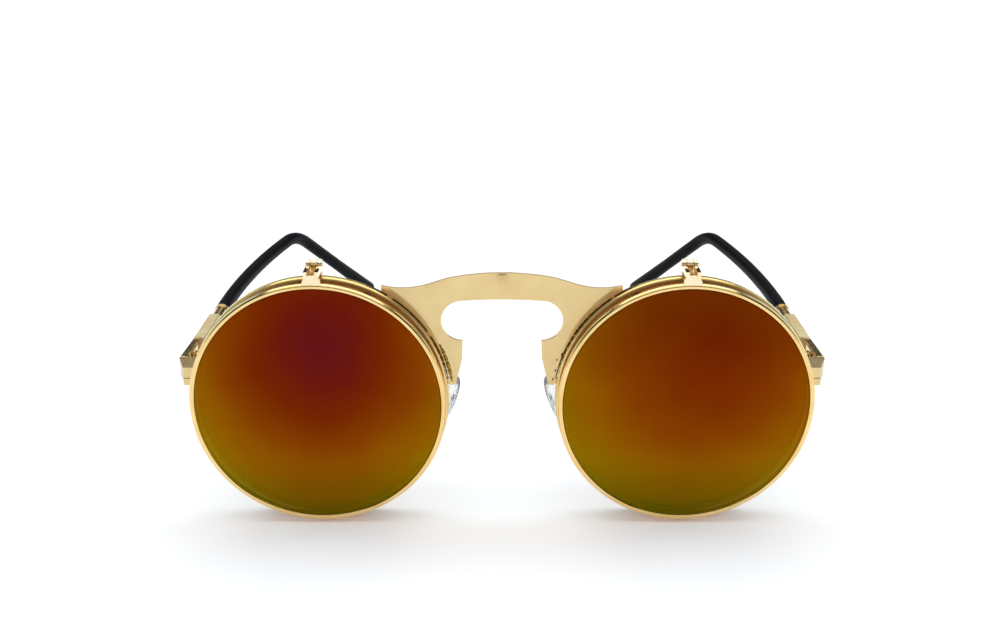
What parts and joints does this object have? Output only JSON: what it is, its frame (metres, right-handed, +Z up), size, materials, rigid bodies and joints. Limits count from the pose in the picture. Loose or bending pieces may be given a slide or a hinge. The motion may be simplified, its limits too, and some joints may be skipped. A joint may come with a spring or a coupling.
{
  "type": "flip-up sunglasses",
  "caption": "Round gold metal sunglasses with mirrored flip-up lenses over tinted lenses, a pierced flat bridge plate, ribbed folding temples and black ear hooks.",
  "frame": {"origin": "On the table under the middle of the part's bounding box.", "axes": "X to the right as seen from the front, Y from the lenses back towards the ears, Z up."},
  "size_m": [0.136, 0.1504, 0.0565],
  "materials": {
    "gold": "polished",
    "steel": "satin",
    "flip_lens_mirror": "mirror gradient",
    "base_lens_tint": "polished",
    "black_sleeve": "gloss",
    "clear_silicone": "satin"
  },
  "bodies": {
    "front": {"bridge_plate": "gold", "left_base_rim": "gold", "right_base_rim": "gold", "left_base_lens": "base_lens_tint", "right_base_lens": "base_lens_tint", "left_rim_lock_block": "gold", "right_rim_lock_block": "gold", "left_rim_lock_screw": "steel", "right_rim_lock_screw": "steel", "left_endpiece": "gold", "right_endpiece": "gold", "left_temple_hinge_front": "gold", "right_temple_hinge_front": "gold", "left_temple_hinge_screw": "steel", "right_temple_hinge_screw": "steel", "left_nose_pad_arm": "gold", "right_nose_pad_arm": "gold", "left_nose_pad_box": "gold", "right_nose_pad_box": "gold", "left_nose_pad_screw": "steel", "right_nose_pad_screw": "steel", "left_flip_hinge_base": "gold", "right_flip_hinge_base": "gold"},
    "left_flip": {"left_flip_yoke": "gold", "left_flip_rim": "gold", "left_flip_lens": "flip_lens_mirror", "left_flip_hinge_pin": "gold"},
    "left_temple": {"left_temple_hinge_rear": "gold", "left_temple_plate": "gold", "left_temple_barrel": "gold", "left_temple_ferrule": "gold", "left_temple_core": "steel", "left_temple_sleeve": "black_sleeve"},
    "left_pad": {"left_nose_pad": "clear_silicone"},
    "right_flip": {"right_flip_yoke": "gold", "right_flip_rim": "gold", "right_flip_lens": "flip_lens_mirror", "right_flip_hinge_pin": "gold"},
    "right_temple": {"right_temple_hinge_rear": "gold", "right_temple_plate": "gold", "right_temple_barrel": "gold", "right_temple_ferrule": "gold", "right_temple_core": "steel", "right_temple_sleeve": "black_sleeve"},
    "right_pad": {"right_nose_pad": "clear_silicone"}
  },
  "joints": [
    {"name": "left_flip_up", "type": "hinge", "parent": "front", "child": "left_flip", "pos_m": [-0.0375, -0.06828, 0.0556], "axis": [-1, 0, 0], "range_deg": [0, 100]},
    {"name": "left_temple_fold", "type": "hinge", "parent": "front", "child": "left_temple", "pos_m": [-0.0651, -0.06148, 0.03145], "axis": [0, 0, -1], "range_deg": [0, 68]},
    {"name": "left_pad_rock", "type": "hinge", "parent": "front", "child": "left_pad", "pos_m": [-0.01415, -0.05932, 0.02079], "axis": [-0.5, 0.866, 0], "range_deg": [-10, 10]},
    {"name": "right_flip_up", "type": "hinge", "parent": "front", "child": "right_flip", "pos_m": [0.0375, -0.06828, 0.0556], "axis": [-1, 0, 0], "range_deg": [0, 100]},
    {"name": "right_temple_fold", "type": "hinge", "parent": "front", "child": "right_temple", "pos_m": [0.0651, -0.06148, 0.03145], "axis": [0, 0, 1], "range_deg": [0, 82]},
    {"name": "right_pad_rock", "type": "hinge", "parent": "front", "child": "right_pad", "pos_m": [0.01415, -0.05932, 0.02079], "axis": [0.5, 0.866, 0], "range_deg": [-10, 10]}
  ]
}
